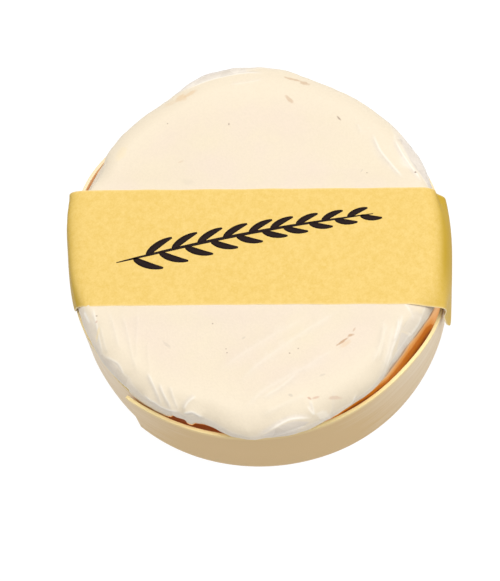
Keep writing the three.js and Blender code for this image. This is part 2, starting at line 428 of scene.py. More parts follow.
def wheel_profile():
    """One side of the round section, from the middle of the foot to the middle of the top."""
    side = hoop_radius - veneer - fit
    points = [(radius, cheese_foot) for radius in np.linspace(0, side - foot_round, 6)]
    for turn in np.linspace(0, math.pi / 2, 6)[1:]:
        points.append((
            side - foot_round + foot_round * math.sin(turn),
            cheese_foot + foot_round * (1 - math.cos(turn)),
        ))
    points += [(side, height) for height in np.linspace(6, 16, 4)]
    points += [(side, height) for height in np.linspace(17, rim_height - 0.3, 8)]
    points += [(cheese_radius, height) for height in np.linspace(rim_height, shoulder_height, 11)]
    for turn in np.linspace(0, math.pi / 2, 35)[1:]:
        points.append((
            cheese_radius - shoulder_reach * (1 - math.cos(turn)),
            shoulder_height + (cheese_top - shoulder_height) * math.sin(turn),
        ))
    edge = cheese_radius - shoulder_reach
    rings = np.linspace(0, 1, 23)[1:]
    points += [(edge * (1 - ring ** 1.3), cheese_top) for ring in rings]
    return points


def hollow(x, y):
    """Shallow hollows of the paper on the top, from 0 to 1."""
    long = np.sin(0.11 * x - 0.07 * y + 0.6)
    across = np.sin(0.05 * x + 0.13 * y - 1.1)
    return 0.5 + 0.5 * long * across


def swell_wheel(places):
    """The turned form, pushed out and in to the cheese's real one."""
    x, y, z = places.T
    angle = np.degrees(np.arctan2(y, x))
    step = 360 / wheel_steps
    off_middle = np.radians(angle % step - step / 2)
    round_again = np.cos(off_middle) / math.cos(math.radians(step / 2))
    radius = np.maximum(np.hypot(x, y), 1e-6)
    turned = (angle - strip_start) % 360 + strip_start
    in_lap = turned < strip_start + strip_lap + 8
    share = np.minimum(z / rim_height, 1)
    inner = strip_radius(np.where(in_lap, turned + 360, turned), share) - veneer
    above_rim = rise(z, rim_height, shoulder_height)
    side = inner - fit + swell(side_hollows, angle)
    brim = cheese_radius + swell(shoulder_swells, angle)
    wanted = side + (brim - side) * above_rim
    over_rim = rise(z, rim_height, rim_height + 0.5) * rise(z, shoulder_height + 2, 26.5)
    all_round = angle % 360
    hanging = sum(
        rise(all_round, start - hang_soft, start + hang_soft)
        * rise(all_round, end + hang_soft, end - hang_soft)
        for start, end in hangs
    )
    wanted = np.maximum(wanted, wanted + (hang_radius - wanted) * hanging * over_rim)
    drawn = np.where(z > rim_height - 0.01, cheese_radius, hoop_radius - veneer - fit)
    outward = round_again * (1 + (wanted / drawn - 1) * (radius * round_again / drawn) ** 3)
    start, full, full_end, end = flap_heights
    outward += swell(flaps, angle) / radius * rise(z, start, full) * rise(z, end, full_end)
    dip = top_dip * hollow(x, y) * rise(z, shoulder_height, cheese_top)
    return np.stack([x * outward, y * outward, z - dip], axis=1)


bm = bmesh.new()
corners = [bm.verts.new((radius, 0, height)) for radius, height in wheel_profile()]
outline = [bm.edges.new(pair) for pair in zip(corners, corners[1:])]
bmesh.ops.spin(
    bm, geom=corners + outline, cent=(0, 0, 0), axis=(0, 0, 1), angle=math.tau,
    steps=wheel_steps, use_merge=True, use_duplicate=False,
)
bmesh.ops.remove_doubles(bm, verts=bm.verts, dist=0.002)
round_edges = [
    edge for edge in bm.edges
    if abs(edge.verts[0].co.z - edge.verts[1].co.z) < 1e-5
    and abs(edge.verts[0].co.xy.length - edge.verts[1].co.xy.length) < 1e-4
]
bmesh.ops.subdivide_edges(bm, edges=round_edges, cuts=wheel_cuts, use_grid_fill=True)
move_vertices(bm, swell_wheel(vertex_array(bm)))
bmesh.ops.recalc_face_normals(bm, faces=bm.faces)
bm.normal_update()


class PaperPath:
    """A smooth line over the paper, through a few places in plan, in millimetres.
    A place with a third number is on the steep side, at that height."""

    def __init__(self, surface, places, steps=6):
        laid = []
        for place in places:
            if len(place) == 3:
                laid.append(surface.find_nearest(Vector(place))[0])
            else:
                above = Vector((place[0], place[1], 2 * cheese_top))
                hit = surface.ray_cast(above, Vector((0, 0, -1)))[0]
                laid.append(hit or surface.find_nearest(above)[0])
        self.points = self.smooth(np.array(laid), steps)

    @staticmethod
    def smooth(laid, steps):
        before = np.vstack([2 * laid[0] - laid[1], laid[:-2]])
        after = np.vstack([laid[2:], 2 * laid[-1] - laid[-2]])
        drawn = []
        for p0, p1, p2, p3 in zip(before, laid[:-1], laid[1:], after):
            for t in np.arange(steps) / steps:
                drawn.append(0.5 * (
                    2 * p1 + (p2 - p0) * t + (2 * p0 - 5 * p1 + 4 * p2 - p3) * t ** 2
                    + (3 * p1 - p0 - 3 * p2 + p3) * t ** 3
                ))
        drawn.append(laid[-1])
        return np.array(drawn)

    def measure(self, places, normals, reach):
        """Which places are within reach, how far left of the path each is, and its share along."""
        low = self.points.min(0) - reach
        high = self.points.max(0) + reach
        near = np.flatnonzero(((places > low) & (places < high)).all(1))
        nearest = np.full(len(near), np.inf)
        side = np.zeros(len(near))
        share = np.zeros(len(near))
        lengths = np.linalg.norm(np.diff(self.points, axis=0), axis=1)
        total = lengths.sum()
        run = 0.0
        for start, end, length in zip(self.points, self.points[1:], lengths):
            along = (end - start) / length
            t = np.clip((places[near] - start) @ along, 0, length)
            offset = places[near] - start - t[:, None] * along
            distance = np.linalg.norm(offset, axis=1)
            left = np.einsum("ij,ij->i", np.cross(normals[near], along), offset)
            closer = distance < nearest
            nearest = np.where(closer, distance, nearest)
            side = np.where(closer, np.where(left > 0, distance, -distance), side)
            share = np.where(closer, (run + t) / total, share)
            run += length
        return near, side, share


# Creases: height in millimetres, its width to the left and to the right of the line, and the
# places that it passes.
creases = [
    # far right, long tight lines down to the band
    (0.20, 1.6, 0.4, [(34.2, 35.5), (35.6, 31.6), (37.2, 28.4), (43.7, 19.8)]),
    (0.10, 1.0, 0.4, [(29.6, 38.8), (31.2, 35.0)]),
    (0.22, 2.4, 0.4, [(40.4, 34.4), (43.3, 28.1), (46.9, 22.2), (49.0, 18.1)]),
    (0.14, 0.6, 0.6, [(45.5, 26.4), (48.4, 25.1), (50.2, 19.2)]),
    (-0.16, 2.0, 2.0, [(37.5, 36.0), (41.5, 28.9), (45.4, 20.3)]),
    # far side
    (0.30, 0.4, 2.2, [(-24.0, 50.6), (-15.0, 54.4), (-4.5, 56.8), (2.0, 56.6)]),
    (0.12, 0.4, 1.0, [(-9.3, 52.3), (-3.3, 53.2), (1.8, 54.4)]),
    (0.15, 1.5, 1.5, [(-2.0, 57.2), (6.0, 57.8), (14.0, 55.4)]),
    # near side, long soft folds that climb to the right
    (0.42, 3.0, 1.6, [(-4.0, -45.0), (3.4, -37.7), (14.0, -29.6), (25.9, -21.4)]),
    (0.46, 3.6, 1.8, [(-2.2, -53.0), (3.7, -46.8), (10.1, -42.6), (17.0, -38.7), (25.4, -32.6)]),
    (0.34, 3.0, 1.6, [(3.0, -54.0), (10.2, -50.3), (17.2, -46.8)]),
    (0.36, 2.6, 1.6, [(-9.5, -40.8), (-1.5, -34.7), (8.3, -28.3), (16.8, -23.7)]),
    (0.30, 1.4, 1.0, [(3.2, -49.1), (8.7, -45.6), (14.3, -40.8)]),
    # near right, folds that fan out to the gap
    (0.30, 1.6, 1.0, [(40.4, -26.0), (38.9, -33.9), (35.8, -42.0)]),
    (0.32, 1.0, 0.7, [(43.2, -22.6), (42.0, -27.9), (39.5, -34.3), (37.2, -40.0)]),
    (0.22, 1.4, 0.8, [(38.1, -24.4), (36.7, -32.6), (34.5, -38.5)]),
    (0.26, 0.6, 0.6, [(44.5, -29.1), (46.8, -26.0), (48.4, -22.4)]),
    # near right, the sharp folds where the paper is pushed down beside the rim
    (0.26, 0.4, 1.1, [(30.4, -46.6, 31.2), (29.3, -48.9, 29.5), (27.0, -50.4, 28.2),
                      (23.4, -52.4, 27.5)]),
    (0.20, 0.4, 0.8, [(16.2, -50.6), (18.2, -52.6), (19.6, -54.2)]),
    (0.26, 0.4, 1.1, [(1.6, -58.4, 28.6), (8.8, -55.6, 31.4), (12.6, -54.2, 31.9),
                      (18.4, -53.9, 31.2)]),
    (-0.20, 0.8, 0.5, [(6.0, -58.4, 28.0), (12.9, -56.5), (17.2, -54.9)]),
    (0.14, 0.6, 0.4, [(18.7, -53.8), (22.4, -52.1), (26.8, -50.5)]),
    # near left, the fan of wrinkles and the ridge that it ends in
    (0.24, 1.0, 0.5, [(-29.2, -40.4), (-26.8, -45.2), (-24.3, -49.7)]),
    (0.24, 0.9, 0.5, [(-25.5, -43.8), (-23.9, -47.5), (-21.4, -50.8)]),
    (0.18, 0.8, 0.5, [(-22.4, -44.7), (-21.2, -48.4), (-19.6, -51.2)]),
    (0.24, 0.5, 0.7, [(-18.5, -51.3), (-17.1, -49.6), (-14.8, -48.0)]),
    (0.50, 0.5, 1.4, [(-12.4, -53.3), (-14.3, -52.5), (-16.2, -51.8), (-18.9, -51.9)]),
    (0.50, 0.5, 1.4, [(-18.9, -51.9), (-20.5, -51.2), (-24.1, -50.0), (-27.0, -48.3),
                      (-30.7, -45.9)]),
    # left, faint upright lines above the grey side
    (0.14, 1.2, 0.6, [(-41.1, -21.5), (-39.4, -27.1), (-37.4, -33.7)]),
    (0.14, 0.9, 0.5, [(-43.5, -26.0), (-41.9, -31.6), (-40.7, -34.6)]),
    (0.14, 1.4, 0.7, [(-32.4, -21.1), (-32.7, -29.3), (-32.2, -38.9)]),
    (0.14, 1.2, 0.6, [(-37.4, -21.6), (-35.3, -29.3), (-33.4, -36.4), (-31.4, -41.4)]),
    (0.10, 1.0, 0.6, [(-29.5, -30.6), (-29.1, -36.7), (-27.8, -42.7)]),
    (0.24, 0.5, 1.4, [(-35.5, -41.5), (-36.2, -40.0), (-37.5, -37.8), (-39.6, -36.2),
                      (-42.1, -34.5)]),
    (0.20, 0.4, 1.2, [(-42.1, -34.5), (-43.6, -29.8), (-44.6, -25.6), (-45.8, -20.5)]),
    # the loop of a loose fold beside the gap, and the lines of the crumpled corner
    (-0.26, 0.3, 0.3, [(43.4, -28.6), (45.0, -28.0), (45.6, -27.2, 26.0), (45.4, -27.6, 20.0),
                       (44.6, -28.4, 15.0)]),
    (0.16, 0.4, 0.6, [(42.9, -19.8), (44.6, -21.3), (46.3, -24.9)]),
    (0.18, 0.4, 0.7, [(42.1, -24.4), (41.5, -27.9), (40.3, -31.4)]),
    (0.18, 0.5, 0.5, [(39.8, -34.1), (38.9, -37.2), (36.9, -40.9)]),
    (0.14, 0.5, 0.8, [(38.9, -25.6), (37.8, -29.6), (37.0, -34.0), (35.9, -37.5)]),
]
crease_crispness = 1.3
crease_strength = 1.15
end_taper = 0.22            # a crease runs out over this share of its length at each end
crease_reach = 2.6          # it is felt as far as this many of its widths
crest_sharp = (0.08, 0.75)  # height over width, where a fold starts to show, and shows fully
crest_highlight_width = 0.22          # a painted highlight whitens the paper this far to either side of a sharp fold
foot_width = 0.55           # and painted shade greys it along the fold's steeper foot
fold_foot_painted_shade = 0.7
pleat_height = 0.22         # unevenness of the paper: on the side, and broad and fine all over
small_pleat_height = 0.10
broad_wave = 0.09
fine_wave = 0.03
# Flat little faces of the crumpled paper: how grey, as painted shade, or how white, as painted
# highlight, and the corners in plan
crumples = [
    (0.95, 0, [(40.6, 33.5), (43.0, 29.8), (45.3, 25.5), (47.7, 20.6), (49.0, 17.5), (56.0, 17.5),
               (54.5, 24.0), (50.5, 31.5), (44.4, 36.6)]),
    (0.90, 0, [(-25.4, 50.4), (-14.6, 54.9), (-14.6, 62.0), (-28.0, 58.0)]),
    (0.85, 0, [(-15.0, 54.8), (-4.0, 57.6), (-4.0, 62.0), (-15.0, 62.0)]),
    (0.40, 0, [(46.6, -22.3), (42.3, -27.8), (45.7, -28.0), (49.4, -22.7)]),
    (0.75, 0, [(42.6, -28.4), (41.2, -33.0), (43.6, -33.0), (45.7, -28.6)]),
    (0.45, 0, [(40.9, -33.6), (38.6, -38.5), (40.4, -38.0), (42.9, -33.6)]),
    (0.80, 0, [(3.0, -58.6), (8.8, -56.0), (12.6, -54.7), (17.0, -54.6), (12.0, -57.6)]),
    (0, 0.60, [(19.4, -54.0), (22.4, -52.6), (26.8, -51.4), (24.0, -53.4)]),
    (0, 0.45, [(18.6, -52.6), (20.4, -53.8), (22.8, -52.2), (21.0, -51.4)]),
    (0, 0.90, [(-48.6, -22.0), (-48.0, -22.0), (-46.6, -24.8), (-47.1, -24.9)]),
    (0, 0.80, [(-7.5, 56.2), (-3.5, 56.6), (-3.5, 57.1), (-7.5, 56.8)]),
]
crumple_edge = 0.35


class Crumple:
    """A small face of the paper with straight sides, which are soft over a short way."""

    def __init__(self, corners):
        self.corners = np.array(corners, float)

    def inside(self, places):
        shares = np.ones(len(places))
        following = np.roll(self.corners, -1, axis=0)
        area = np.cross(self.corners, following).sum()
        for corner, along in zip(self.corners, following - self.corners):
            away = places[:, :2] - corner
            inward = (along[0] * away[:, 1] - along[1] * away[:, 0]) / np.linalg.norm(along)
            shares *= rise(inward * np.sign(area), -crumple_edge / 2, crumple_edge / 2)
        return shares * (places[:, 2] > rim_height)


# The mesh is made finer along the creases: how far to either side, and down to what length
refinements = [(2.0, 0.9), (1.3, 0.46), (0.75, 0.26)]


def refine_near(bm, paths):
    for reach, longest in refinements:
        places = vertex_array(bm)
        normals = np.array([v.normal for v in bm.verts])
        close = np.zeros(len(places), bool)
        for path in paths:
            near, side, _ = path.measure(places, normals, reach)
            close[near[np.abs(side) < reach]] = True
        long_edges = [
            edge for edge in bm.edges
            if edge.calc_length() > longest and all(close[v.index] for v in edge.verts)
        ]
        bmesh.ops.subdivide_edges(bm, edges=long_edges, cuts=1, use_grid_fill=True)
        bm.verts.index_update()
        bm.normal_update()


def fold_paper(places, normals, paths):
    """How far the creases and the paper's own unevenness lift each place off the plain form,
    and how far it is whitened on their crests as painted highlight and greyed at their feet as
    painted shade."""
    lift = np.zeros(len(places))
    crest_highlight = np.zeros(len(places))
    grey = np.zeros(len(places))
    for (height, left_width, right_width, route), path in zip(creases, paths):
        reach = crease_reach * max(left_width, right_width)
        near, side, share = path.measure(places, normals, reach)
        width = np.where(side > 0, left_width, right_width)
        section = np.exp(-(np.abs(side) / width) ** crease_crispness)
        ends = rise(share, 0, end_taper) * rise(share, 1, 1 - end_taper)
        lift[near] += crease_strength * height * section * ends
        narrow = min(left_width, right_width)
        sharpness = float(rise(abs(height) / narrow, *crest_sharp))
        on_crest = sharpness * np.exp(-(side / crest_highlight_width / (1 + narrow)) ** 2) * ends
        crest_highlight[near] = np.maximum(crest_highlight[near], on_crest)
        steeper = 1 if left_width < right_width else -1
        on_foot = np.exp(-((side * steeper - foot_width) / foot_width) ** 2)
        grey[near] = np.maximum(grey[near], fold_foot_painted_shade * sharpness * on_foot * ends)
    # The crumpled faces: painted shade where grey, painted highlight where white
    for greyness, whiteness, corners in crumples:
        inside = Crumple(corners).inside(places)
        grey = np.maximum(grey, greyness * inside)
        crest_highlight = np.maximum(crest_highlight, whiteness * inside)
    for i, (x, y, z) in enumerate(places):
        if z < rim_height - 4:
            continue
        angle = math.atan2(y, x)
        steep = float(rise(z, 33.0, 30.5))
        pleats = 1 - 2 * abs(soft_noise(angle * 7.0 + z * 0.06, z * 0.05, 3.1))
        small = 1 - 2 * abs(soft_noise(angle * 19.0 - z * 0.08, z * 0.09, 8.7))
        lift[i] += steep * (pleat_height * pleats + small_pleat_height * small)
        lift[i] += broad_wave * soft_noise(x * 0.09, y * 0.09, 0.4)
        lift[i] += fine_wave * soft_noise(x * 0.35, y * 0.35, 5.2)
    return lift, crest_highlight, grey


plain_form = BVHTree.FromBMesh(bm)
crease_paths = [PaperPath(plain_form, route) for *shape, route in creases]
refine_near(bm, crease_paths)
places = vertex_array(bm)
normals = np.array([v.normal for v in bm.verts])
lift, crest_highlight, grey = fold_paper(places, normals, crease_paths)
places = places + normals * lift[:, None]
# The band is pressed into the soft paper, which lies level with it along its edges, and sinks
# with them toward the shoulders.
pressed = 0.07              # the paper lies this far below the band's face
held_inside = 50.5          # out to this radius under the band, and to the next beside it
held_beside = 56.0
x, y, z = places.T
band_reach = np.abs(y - band_middle) - band_width / 2
held_to = held_inside + (held_beside - held_inside) * rise(band_reach, -2.0, -0.3)
held = rise(np.hypot(x, y), held_to, held_to - 5) * rise(band_reach, 8.0, 0.6) * (z > rim_height)
edge_sink = near_droop * rise(x + edge_draw, droop_from, droop_to) * (y < 0)
edge_sink += left_sink * np.maximum(0, (left_sink_from - x) / left_sink_over) ** 3
places[:, 2] += (band_top - pressed - edge_sink - z) * held
move_vertices(bm, places)

# Below a line round the shoulder the paper stands free of the cheese, and is greyed there as
# painted shade. The line is given by angle, height and how grey the paper is below it.
slack_line = [
    (0, 32.6, 0.8), (18, 32.6, 0.9), (30, 32.8, 0.8), (39, 32.6, 0.6), (47, 30.5, 0.2),
    (75, 30.0, 0.3), (90, 31.2, 0.6), (96, 32.0, 0.9), (106, 32.3, 1.0), (113, 31.9, 0.9),
    (119, 30.5, 0.3), (150, 29.5, 0.2), (175, 31.0, 0.4), (195, 32.9, 0.45), (205, 33.1, 0.5),
    (211, 32.7, 0.5), (219, 30.8, 0.65), (223, 31.6, 0.6), (231, 31.4, 0.6), (237, 29.6, 0.6),
    (244, 29.3, 0.65), (249, 30.2, 0.65), (251, 29.8, 0.6), (254, 31.0, 0.6), (261, 30.2, 0.55),
    (270, 29.2, 0.5), (285, 29.6, 0.5), (297, 29.0, 0.4), (309, 29.5, 0.5), (318, 30.4, 0.8),
    (329, 30.6, 0.8), (336, 31.8, 0.7), (348, 32.6, 0.7), (360, 32.6, 0.8),
]
slack_soft = 0.5            # the grey sets in over this height
ridge_painted_highlight = 0.5         # and the line itself gets so much painted highlight
painted_light_from = 42             # painted light: the paper is made paler from this radius out to the next
painted_light_to = 52
# Painted glow and painted shade in the gap past the rim, as if light came through the cheese's side:
# at each angle, the height below which it is lit, and where it is golden, orange and dark
glow_line = [
    (0, 8, 7, 6, 4), (20, 24, 23.5, 22, 18), (242, 24.5, 24.2, 23, 21),
    (246, 25.8, 25.75, 25.5, 24.3), (262, 25.8, 25.7, 25.3, 23.6), (265, 24, 23.5, 22.8, 21.4),
    (289, 23.5, 23, 22.2, 21), (294, 24, 23.5, 22.8, 21.8), (299, 24.6, 24.4, 24, 23),
    (304, 26, 25.4, 24.4, 22.4), (310, 27, 25.4, 23, 20.5), (314, 25, 23.3, 20.8, 17.5),
    (319, 23.5, 21, 17.7, 14), (324, 23, 20, 15.3, 8.5), (330, 22.7, 18.5, 13.8, 6),
    (335, 22.7, 18.8, 14.3, 5.5), (338, 22.5, 18.5, 15, 6), (341.4, 23.5, 14, 11, 6),
    (344.5, 24.5, 5, 3, 1), (347, 24.5, 4, 2, 0), (350, 8, 7, 6, 4), (360, 8, 7, 6, 4),
]


def paper_marks(bm, places, crest_highlight, grey):
    """Marks where the paper is greyed as painted shade, whitened along a fold as painted highlight,
    made paler toward its edge as painted light, or has a painted glow and shade in the gap.
    """
    layers = bm.verts.layers.float
    slack_shade_layer, crest_layer = layers.new("slack_shade"), layers.new("crest_highlight")
    painted_light_edge_layer = layers.new("painted_light_edge")
    glow_layer, deep_layer = layers.new("glow"), layers.new("deep")
    x, y, z = places.T
    angle = np.degrees(np.arctan2(y, x)) % 360
    marks, heights, strengths = np.array(slack_line).T
    line_height = np.interp(angle, marks, heights)
    cloud = np.array([0.85 + 0.5 * soft_noise(*place * 0.16) for place in places])
    ragged = np.array([soft_noise(a * 0.35, 2.0, h * 0.1) for a, h in zip(angle, z)])
    slack_shade = np.interp(angle, marks, strengths) * cloud
    slack_shade *= rise(line_height - z, -slack_soft, slack_soft)
    on_line = np.exp(-((z - line_height - 0.15) / 0.2) ** 2) * np.interp(angle, marks, strengths)
    marks, *heights = np.array(glow_line).T
    lit, golden, orange, dark = (np.interp(angle, marks, h) for h in heights)
    golden = np.minimum(golden + 0.4 * ragged, lit - 0.2)
    glow = rise(z, lit, (lit + golden) / 2)
    deep = 0.2 * np.clip((lit - z) / (lit - golden), 0, 1) \
        + 0.25 * np.clip((golden - z) / (golden - orange), 0, 1) \
        + 0.55 * np.clip((orange - z) / (orange - dark), 0, 1)
    painted_light_edge = rise(np.hypot(x, y), painted_light_from, painted_light_to)
    marked = {
        slack_shade_layer: np.maximum(slack_shade, grey), crest_layer: np.maximum(crest_highlight, ridge_painted_highlight * on_line),
        painted_light_edge_layer: painted_light_edge, glow_layer: glow, deep_layer: deep,
    }
    for layer, values in marked.items():
        for v, value in zip(bm.verts, np.clip(values, 0, 1)):
            v[layer] = float(value)


paper_marks(bm, places, crest_highlight, grey)


def build_crumple_group():
    """Flat little facets of crumpled paper: a lighter or darker tone for each, as painted shade, and
    a height.
    """
    group, given, result = new_group(
        "Crumpled facets", {"Place": (0, 0, 0), "Facet Size": 0.004}, ["Tone", "Height"]
    )
    bent = noise_texture(group, given["Place"], 160.0)
    swing = vector_maths(group, "MULTIPLY", bent["Color"], (0.003, 0.003, 0.003))
    shaken = vector_maths(group, "ADD", given["Place"], swing)
    flattened = vector_maths(group, "MULTIPLY", shaken, (1.0, 1.0, 0.45))
    laid = {"Vector": flattened, "Scale": maths(group, "DIVIDE", 1.0, given["Facet Size"])}
    facets = wire(group, "ShaderNodeTexVoronoi", laid)
    edges = wire(group, "ShaderNodeTexVoronoi", laid, feature="DISTANCE_TO_EDGE")
    tone = wire(group, "ShaderNodeSeparateColor", {0: facets.outputs["Color"]})
    group.links.new(tone.outputs[0], result["Tone"])
    group.links.new(spread_range(group, edges.outputs["Distance"], 0, 0.4), result["Height"])
    return group


def build_mottle_group():
    """Cloudy unevenness of thin paper: a broad and a fine tone, and a fine relief."""
    group, given, result = new_group(
        "Paper mottle", {"Place": (0, 0, 0), "Cloud Size": 0.006, "Fibre Size": 0.0006},
        ["Cloud", "Fibre", "Height"],
    )
    cloud_scale = maths(group, "DIVIDE", 1.0, given["Cloud Size"])
    cloud = noise_texture(group, given["Place"], cloud_scale, 4.0, 0.55)["Fac"]
    fibre_scale = maths(group, "DIVIDE", 1.0, given["Fibre Size"])
    fibre = noise_texture(group, given["Place"], fibre_scale, 3.0, 0.6)["Fac"]
    group.links.new(spread_range(group, cloud, 0.3, 0.7), result["Cloud"])
    group.links.new(spread_range(group, fibre, 0.3, 0.7), result["Fibre"])
    group.links.new(maths(group, "MULTIPLY_ADD", cloud, 2.0, fibre), result["Height"])
    return group


def build_stain_group():
    """One soft-edged oval stain, turned in plan. Its sizes are in metres."""
    group, given, result = new_group("Rind stain", {
        "Place": (0, 0, 0), "Middle": (0, 0, 0), "Turn": 0.0, "Half Size": (1, 1, 1),
        "Strength": 1.0,
    }, ["Mask"])
    ragged = noise_texture(group, given["Place"], 900.0, 3.0)
    centred = vector_maths(group, "SUBTRACT", given["Place"], given["Middle"])
    turned = wire(group, "ShaderNodeVectorRotate", {
        "Vector": centred, "Angle": given["Turn"],
    }, rotation_type="Z_AXIS")
    sized = vector_maths(group, "DIVIDE", turned.outputs[0], given["Half Size"])
    far = wire(group, "ShaderNodeVectorMath", {0: sized}, operation="LENGTH")
    shaken = maths(group, "MULTIPLY_ADD", ragged["Fac"], 1.1, -0.55)
    edge = maths(group, "ADD", far.outputs["Value"], shaken)
    mask = spread_range(group, edge, 1.15, 0.45)
    group.links.new(maths(group, "MULTIPLY", mask, given["Strength"]), result["Mask"])
    return group


crumple_group = build_crumple_group()
mottle_group = build_mottle_group()
stain_group = build_stain_group()

stain_tan = (0.72, 0.47, 0.24, 1)
stain_brown = (0.52, 0.31, 0.17, 1)
stain_grey = (0.50, 0.44, 0.36, 1)
stain_dark = (0.20, 0.11, 0.07, 1)
stain_red = (0.55, 0.27, 0.17, 1)
stain_yellow = (0.84, 0.68, 0.40, 1)
# Each stain: colour, strength, middle in plan, half length, half width and turn in degrees
stains = [
    (stain_tan, 0.45, (-23.4, 48.4), 2.0, 1.6, 20),
    (stain_tan, 0.40, (-20.6, 49.8), 2.6, 0.8, 32),
    (stain_tan, 0.18, (-26.6, 46.8), 2.4, 1.0, 25),
    (stain_brown, 0.50, (10.2, 54.5), 3.2, 0.5, -16),
    (stain_brown, 0.50, (13.6, 53.2), 2.0, 0.8, -20),
    (stain_brown, 0.45, (9.3, 47.2), 2.2, 0.7, -48),
    (stain_dark, 0.60, (24.3, 40.4), 1.1, 0.34, -52),
    (stain_dark, 0.55, (-8.6, 38.9), 0.42, 0.25, 90),
    (stain_dark, 0.55, (-27.1, 39.4), 0.28, 0.24, 0),
    (stain_brown, 0.22, (-22.5, 26.5), 0.9, 0.35, 20),
    (stain_grey, 0.12, (-20.1, 19.3), 2.6, 1.2, -20),
    (stain_yellow, 0.30, (-40.5, 29.5), 3.0, 1.6, 60),
    (stain_dark, 0.40, (32.7, 22.0), 0.28, 0.24, 0),
    (stain_grey, 0.40, (31.2, 22.8), 0.8, 0.22, 60),
    (stain_dark, 0.75, (46.9, 22.2), 0.42, 0.34, 40),
    (stain_dark, 0.55, (-11.0, -25.9), 0.28, 0.24, 0),
    (stain_dark, 0.60, (-6.9, -33.7), 0.26, 0.22, 0),
    (stain_dark, 0.60, (-6.6, -34.9), 0.26, 0.22, 0),
    (stain_grey, 0.40, (-2.0, -30.3), 0.8, 0.35, 40),
    (stain_dark, 0.55, (11.2, -35.2), 0.28, 0.24, 0),
    (stain_dark, 0.50, (13.6, -33.8), 0.28, 0.24, 0),
    (stain_brown, 0.85, (26.0, -31.6), 2.2, 0.40, 38),
    (stain_brown, 0.75, (28.4, -29.6), 1.1, 0.45, 20),
    (stain_brown, 0.45, (29.4, -27.8), 0.9, 0.3, 62),
    (stain_tan, 0.30, (27.0, -32.2), 2.0, 0.8, 36),
    (stain_grey, 0.30, (20.7, -41.7), 1.0, 0.4, 20),
    (stain_grey, 0.45, (11.7, -47.9), 0.9, 0.5, -30),
    (stain_red, 0.60, (17.0, -48.7), 0.7, 0.35, -25),
    (stain_red, 0.45, (18.8, -48.4), 1.1, 0.45, 18),
    (stain_red, 0.30, (24.3, -48.1), 2.0, 0.5, 8),
    (stain_dark, 0.55, (-44.6, -23.6), 0.35, 0.25, 0),
    (stain_red, 0.45, (-44.6, -25.2), 0.5, 0.35, 60),
    (stain_yellow, 0.60, (-44.2, -28.6), 2.2, 0.5, 75),
    (stain_grey, 0.30, (-24.0, -32.3), 1.8, 0.5, -40),
]
stain_depth = 8.0           # a stain reaches this far up and down, so that it has no end in height


def make_wrapping_paper():
    material, tree, shader = new_material("Wrapping paper", {
        "Specular IOR Level": 0.35, "Emission Strength": paper_painted_glow,
    })
    place = place_on_part(tree)
    mottle = place_group(tree, mottle_group, {
        "Place": place, "Cloud Size": 0.018, "Fibre Size": 0.0007,
    })
    blushed = maths(tree, "MULTIPLY", mottle["Cloud"], 0.8)
    paper = blend_colours(tree, blushed, paper_cream, paper_peach)
    # Painted light: the paper toward the shoulder is made paler
    paper = blend_colours(tree, mark(tree, "painted_light_edge"), paper, paper_painted_light)
    # Painted shade: below the line round the shoulder the paper is greyed, in facets of lighter and
    # darker grey
    slack_shade = mark(tree, "slack_shade")
    crumple = place_group(tree, crumple_group, {"Place": place, "Facet Size": 0.0045})
    facet_painted_shade = blend_colours(tree, crumple["Tone"], paper_painted_shade, paper_painted_shade_pale)
    paper = blend_colours(tree, slack_shade, paper, facet_painted_shade)
    # Painted highlight along the sharp folds, the line round the shoulder and the glints
    crest_painted_highlight = maths(tree, "MULTIPLY", mark(tree, "crest_highlight"), 0.75)
    paper = blend_colours(tree, crest_painted_highlight, paper, paper_painted_highlight)
    for colour, strength, middle, half_length, half_width, turn in stains:
        spot = tray_place @ Vector((middle[0], middle[1], cheese_top - 1))
        stain = place_group(tree, stain_group, {
            "Place": place,
            "Middle": spot,
            "Turn": -math.radians(turn),
            "Half Size": (half_length * MM, half_width * MM, stain_depth * MM),
            "Strength": strength,
        })
        paper = blend_colours(tree, stain["Mask"], paper, colour)
    # Painted glow and shade in the gap by the rim: cream, gold, orange and dark, shining as painted
    # light
    glow = mark(tree, "glow")
    deep = mark(tree, "deep")
    upper = blend_colours(tree, spread_range(tree, deep, 0.0, 0.25), glow_cream, glow_gold)
    upper = blend_colours(tree, spread_range(tree, deep, 0.25, 0.45), upper, glow_orange)
    lit = blend_colours(tree, spread_range(tree, deep, 0.55, 1.0), upper, gap_painted_shade)
    paper = blend_colours(tree, glow, paper, lit)
    painted_glow_colour = blend_colours(tree, glow, (0, 0, 0, 1), lit)
    tree.links.new(painted_glow_colour, shader.inputs["Emission Color"])
    fine = spread_range(tree, mottle["Fibre"], 0, 1, 0.975, 1.0)
    tone = wire(tree, "ShaderNodeCombineColor", {"Red": fine, "Green": fine, "Blue": fine})
    paper = blend_colours(tree, 1.0, paper, tone.outputs[0], "MULTIPLY")
    roughness = spread_range(tree, slack_shade, 0, 1, 0.52, 0.36)
    crumpled = maths(tree, "MULTIPLY", crumple["Height"], maths(tree, "MULTIPLY", slack_shade, 1.6))
    height = maths(tree, "ADD", mottle["Height"], crumpled)
    attach(tree, shader, paper, roughness, height, bump=0.25, depth=0.0002)
    return material


add_piece("paper_wrapper", bm, make_wrapping_paper(), "wrapping_paper", "wrapped_cheese")

# The band: one long strip of golden uncoated card, folded over the cheese and down both sides.
# Its ends are glued to the outside of the hoop, with their edges standing off it and curled.
card = 0.3
card_wear = 0.10
band_right = 57.3
band_left = 56.3
band_ends = {1: (14.0, 5.5), -1: (15.0, 9.0)}   # height of each end, and its corners' radius
flat_right = 49.5
flat_left = 46.0
right_fall = 5.5
left_fall = 4.0
left_lean = 1.1
stand_off = {1: (0.25, 0.95, 2.1), -1: (0.0, 3.0, 0.0)}   # middle, far edge and near edge
turn_from = 30.0
